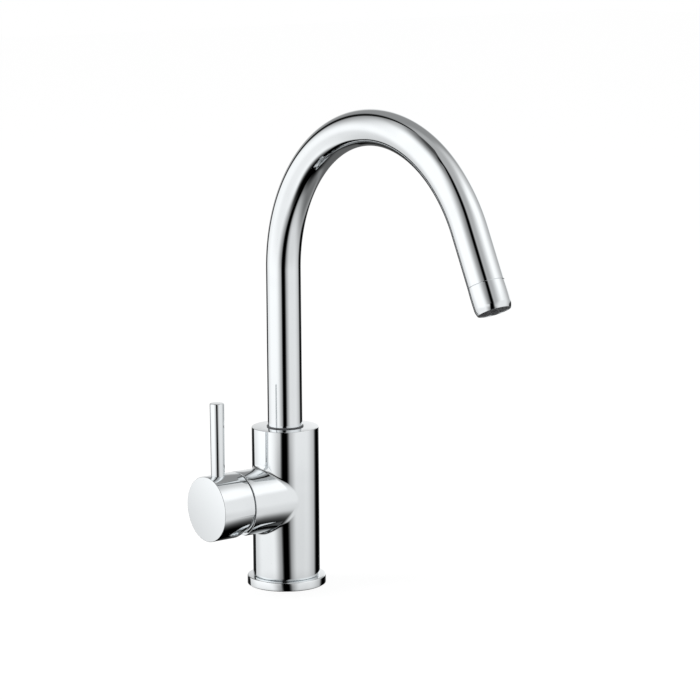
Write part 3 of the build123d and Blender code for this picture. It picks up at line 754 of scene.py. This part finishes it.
def collarOutline(size):
    # a barrel that swells a little, then a nose that turns in to the lip
    radius, seam, barrel, end, lip = (size[key] for key in ("radius", "seamEdge", "barrel", "end", "lip"))
    skin = [(radius - seam, 0, 0), (radius, seam, 0)]
    for k in range(1, size["barrelSteps"] + 1):
        h = seam + (barrel - seam) * k / size["barrelSteps"]
        skin.append((radius + size["swell"] * sin(pi * h / barrel), h, 0))
    for k in range(1, size["noseSteps"]):
        t = k / size["noseSteps"]
        skin.append((radius - (radius - lip) * t ** size["nosePower"], barrel + (end - barrel) * t, 0))
    return skin + [(lip, end, size["lipEdge"]), (size["bore"], end, size["boreEdge"]),
                   (size["bore"], size["shoulder"], 0), (size["shoulderBore"], size["shoulder"], 0),
                   (size["shoulderBore"], size["spigotEnd"], 0), (size["spigot"], size["spigotEnd"], 0),
                   (size["spigot"], 0, 0)]


outletCollar = lathePiece("outletCollar", rounded(collarOutline(collarSizes), collarSizes["edgeSteps"]),
                          collarSizes["around"], outletPlace)
finishPiece(outletCollar, "spout", chrome["outlet"], "aerator_collar")


# camera, at the photograph's angle; distance and height in metres, lens and sensor in millimetres
cameraSetup = {"azimuth": 53.400, "aside": -1.378, "distance": 1.946254, "height": 0.505166,
               "tilt": 9.776, "roll": 0.384, "lens": 142.510, "sensor": 36.0}


def placeCamera(setup):
    data = bpy.data.cameras.new("camera")
    data.lens = setup["lens"]
    data.sensor_width = setup["sensor"]
    camera = bpy.data.objects.new("camera", data)
    bpy.context.scene.collection.objects.link(camera)
    around = radians(setup["azimuth"])
    spot = Vector((sin(around), -cos(around), 0)) * setup["distance"] + Vector((0, 0, setup["height"]))
    turn = (Matrix.Rotation(around + radians(setup["aside"]), 4, "Z")
            @ Matrix.Rotation(quarter - radians(setup["tilt"]), 4, "X")
            @ Matrix.Rotation(-radians(setup["roll"]), 4, "Z"))
    camera.matrix_world = Matrix.Translation(spot) @ turn
    bpy.context.scene.camera = camera
    stageNote("camera in place")


# the light tent round the tap, as seen from its middle: "round" in degrees from the camera's side, positive
# to the right of the picture, "up" in degrees over the horizon. Each panel is laid over the ones before it,
# with its soft edges inside its limits, and its grey as it looks in the picture. A veil covers only that
# share, and a panel with a lean stands askew by that much for each degree up. The radius and the middle are
# in metres.
tentSetup = {
    "radius": 24.0, "middle": 0.18, "segments": 96, "rings": 48, "facing": 53.4,
    "gamma": 2.2, "gain": 1.17, "cloth": 0.66,
    "panels": {
        "rear": {"round": (128, 240), "softRound": (24, 18),
                 "up": (4, 74), "softUp": (14, 16), "grey": 0.54},
        "rearLow": {"round": (138, 240), "softRound": (16, 18),
                    "up": (-95, -5), "softUp": (1, 13), "grey": 0.36},
        "backdrop": {"round": (138, 200), "softRound": (8, 30),
                     "up": (-13, 30), "softUp": (10, 18), "grey": 0.97},
        "table": {"round": (-6, 160), "softRound": (14, 30),
                  "up": (-95, -16), "softUp": (1, 30), "grey": 0.43},
        "pit": {"round": (-170, 14), "softRound": (20, 12),
                "up": (-95, -40), "softUp": (1, 16), "grey": 0.04},
        "leftTop": {"round": (-150, -25), "softRound": (20, 20),
                    "up": (44, 100), "softUp": (24, 16), "grey": 0.42},
        "leftWall": {"round": (-141, 10), "softRound": (10, 70),
                     "up": (-71, 78), "softUp": (26, 38), "grey": 1.0},
        "leftLow": {"round": (-142, -14), "softRound": (8, 40),
                    "up": (-60, -4), "softUp": (30, 17), "grey": 0.92},
        "leftFade": {"round": (-141, -90), "softRound": (1, 50),
                     "up": (-2, 64), "softUp": (30, 16), "grey": 0.0, "veil": 0.44},
        "leftCorner": {"round": (-216, -178), "softRound": (6, 12),
                       "up": (-78, -28), "softUp": (6, 10), "grey": 0.03, "lean": -1.2},
        "leftEdge": {"round": (-141, -92), "softRound": (1, 36),
                     "up": (-78, 10), "softUp": (20, 26), "grey": 0.0, "veil": 0.11},
        "rightWall": {"round": (2, 134), "softRound": (40, 58),
                      "up": (-90, 76), "softUp": (54, 30), "grey": 0.89, "lean": 0.5},
        "rightLow": {"round": (8, 98), "softRound": (12, 40),
                     "up": (-75, -3), "softUp": (34, 17), "grey": 0.0, "veil": 0.07},
        "rightLamp": {"round": (50, 116), "softRound": (24, 26),
                      "up": (21, 66), "softUp": (13, 22), "grey": 1.0},
        "crown": {"round": (-140, -6), "softRound": (20, 24),
                  "up": (71, 100), "softUp": (9, 1), "grey": 0.27},
        "crownGap": {"round": (-46, -8), "softRound": (16, 12),
                     "up": (67, 82), "softUp": (6, 8), "grey": 0.0},
        "frontShade": {"round": (-66, 6), "softRound": (54, 8),
                       "up": (6, 76), "softUp": (16, 12), "grey": 0.0, "veil": 0.38},
        "frontGapHigh": {"round": (-14, 16), "softRound": (12, 14),
                         "up": (12, 78), "softUp": (14, 8), "grey": 0.0, "lean": -0.2},
        "frontGap": {"round": (-20, 16), "softRound": (12, 15),
                     "up": (-78, 28), "softUp": (10, 16), "grey": 0.0, "lean": -0.16},
        "frontGapLow": {"round": (-46, 40), "softRound": (42, 34),
                        "up": (-80, 2), "softUp": (10, 18), "grey": 0.0, "veil": 0.34},
        "frontPit": {"round": (-72, 20), "softRound": (42, 12),
                     "up": (-95, -52), "softUp": (1, 18), "grey": 0.03},
        "rearGap": {"round": (110, 163), "softRound": (20, 16),
                    "up": (-29, 0), "softUp": (10, 7), "grey": 0.02},
        "rearGapLeft": {"round": (-153, -131), "softRound": (10, 9),
                        "up": (-90, 78), "softUp": (10, 10), "grey": 0.06},
        "rearGapLow": {"round": (-174, -131), "softRound": (18, 9),
                       "up": (-60, 0), "softUp": (10, 12), "grey": 0.10, "veil": 0.75},
    },
}


def onlyForMetal(screen):
    # reflections show it, the camera doesn't, and it lights and shades nothing
    screen.visible_camera = screen.visible_diffuse = screen.visible_shadow = False


def lightTent(setup):
    deselect()
    bpy.ops.mesh.primitive_uv_sphere_add(segments=setup["segments"], ring_count=setup["rings"],
                                         radius=setup["radius"], location=(0, 0, setup["middle"]))
    tent = bpy.context.object
    tent.name = "lightTent"
    bpy.ops.object.shade_smooth()
    material = bpy.data.materials.new("tentCloth")
    tree = Tree(material)
    toward = tree.add("ShaderNodeVectorMath", {"operation": "NORMALIZE"}, {0: tree.place()})
    x, y, z = tree.parts(toward)
    facing = radians(setup["facing"])
    ahead = x * sin(facing) + y * -cos(facing)
    right = x * cos(facing) + y * sin(facing)
    around = right.math("ARCTAN2", ahead) * degrees(1)
    up = z.math("ARCSINE") * degrees(1)
    behind = around + 360 * around.math("LESS_THAN", 0.0)   # counts on past 180, for panels across the rear
    grey = setup["cloth"]
    for panel in setup["panels"].values():
        (left, far), (softLeft, softFar) = panel["round"], panel["softRound"]
        (low, high), (softLow, softHigh) = panel["up"], panel["softUp"]
        here = behind if far > 180 else around
        if "lean" in panel:
            here = here - up * panel["lean"]
        cover = here.ramp(left, left + softLeft) * here.ramp(far, far - softFar)
        cover = cover * up.ramp(low, low + softLow) * up.ramp(high, high - softHigh)
        if "veil" in panel:
            cover = cover * panel["veil"]
        grey = tree.add("ShaderNodeMix", {"data_type": "FLOAT"}, {0: cover, 2: grey, 3: panel["grey"]})
    level = grey ** setup["gamma"] * setup["gain"]
    tree.finish(tree.add("ShaderNodeEmission", {}, {"Color": level, "Strength": 1.0}))
    tent.data.materials.append(material)
    onlyForMetal(tent)
    stageNote(f"light tent with {len(setup['panels'])} panels")


# a painted shadow, seen only in reflections: a card below the floor, black in the middle and clearing
# outwards, stands for the tap's own shade on the floor round its foot; the underside of the boss and cap
# mirror it; sizes in metres
shadowCardSetup = {"radius": 0.26, "depth": 0.05, "dark": 0.035, "clear": 0.20, "around": 64}


def paintedShadowCard(setup):
    deselect()
    bpy.ops.mesh.primitive_circle_add(vertices=setup["around"], radius=setup["radius"], fill_type="NGON",
                                      location=(0, 0, -setup["depth"]))
    card = bpy.context.object
    card.name = "paintedShadowCard"
    material = bpy.data.materials.new("paintedShadowCard")
    tree = Tree(material)
    away = tree.add("ShaderNodeVectorMath", {"operation": "LENGTH"}, {0: tree.place()}, out="Value")
    # painted shadow: black out to "dark" from the middle, clearing to nothing at "clear"
    black = tree.add("ShaderNodeEmission", {}, {"Color": (0, 0, 0, 1), "Strength": 0.0})
    through = tree.add("ShaderNodeBsdfTransparent")
    fade = away.ramp(setup["dark"], setup["clear"])
    tree.finish(tree.add("ShaderNodeMixShader", {}, {0: fade, 1: black, 2: through}))
    card.data.materials.append(material)
    onlyForMetal(card)


def seenRays(tree):
    # 1 where the camera, or metal or glass, looks straight at it
    path = tree.add("ShaderNodeLightPath")
    return (path + path.other("Is Glossy Ray") + path.other("Is Transmission Ray")).clamp()


# pale paper floor, which shows mostly as plain white and keeps a faint shadow; size in metres
floorSetup = {"size": 12.0, "paper": (0.9, 0.9, 0.9, 1),
              "white": (1, 1, 1, 1), "strength": 1.16, "share": 0.75}


def studioFloor(setup):
    deselect()
    bpy.ops.mesh.primitive_plane_add(size=setup["size"])
    floor = bpy.context.object
    floor.name = "studioFloor"
    material = bpy.data.materials.new("palePaper")
    tree = Tree(material)
    plain = tree.add("ShaderNodeBsdfDiffuse", {}, {"Color": setup["paper"]})
    white = tree.add("ShaderNodeEmission", {}, {"Color": setup["white"], "Strength": setup["strength"]})
    tree.finish(tree.add("ShaderNodeMixShader", {}, {0: seenRays(tree) * setup["share"], 1: plain, 2: white}))
    floor.data.materials.append(material)
    floor.visible_glossy = False


# plain white behind everything; "light" is how much of it falls on the tap
worldSetup = {"white": (1, 1, 1, 1), "light": 0.55}


def studioWorld(setup):
    world = bpy.data.worlds.new("studioWorld")
    bpy.context.scene.world = world
    tree = Tree(world)
    shown = seenRays(tree)
    strength = shown + (1 - shown) * setup["light"]
    shader = tree.add("ShaderNodeBackground", {}, {"Color": setup["white"], "Strength": strength})
    tree.finish(shader, "ShaderNodeOutputWorld")


keyLamp = {"place": (-1.0, -1.6, 2.0), "size": 1.4, "power": 26}   # metres and watts


def softLamp(name, setup):
    data = bpy.data.lights.new(name, "AREA")
    data.shape = "DISK"
    data.size = setup["size"]
    data.energy = setup["power"]
    lamp = bpy.data.objects.new(name, data)
    bpy.context.scene.collection.objects.link(lamp)
    lamp.location = setup["place"]
    lamp.rotation_euler = (-Vector(setup["place"])).to_track_quat("-Z", "Y").to_euler()
    lamp.visible_glossy = False


placeCamera(cameraSetup)
lightTent(tentSetup)
paintedShadowCard(shadowCardSetup)
studioFloor(floorSetup)
studioWorld(worldSetup)
softLamp("keyLamp", keyLamp)
bpy.context.scene.view_settings.view_transform = "Standard"
stageNote("studio ready")
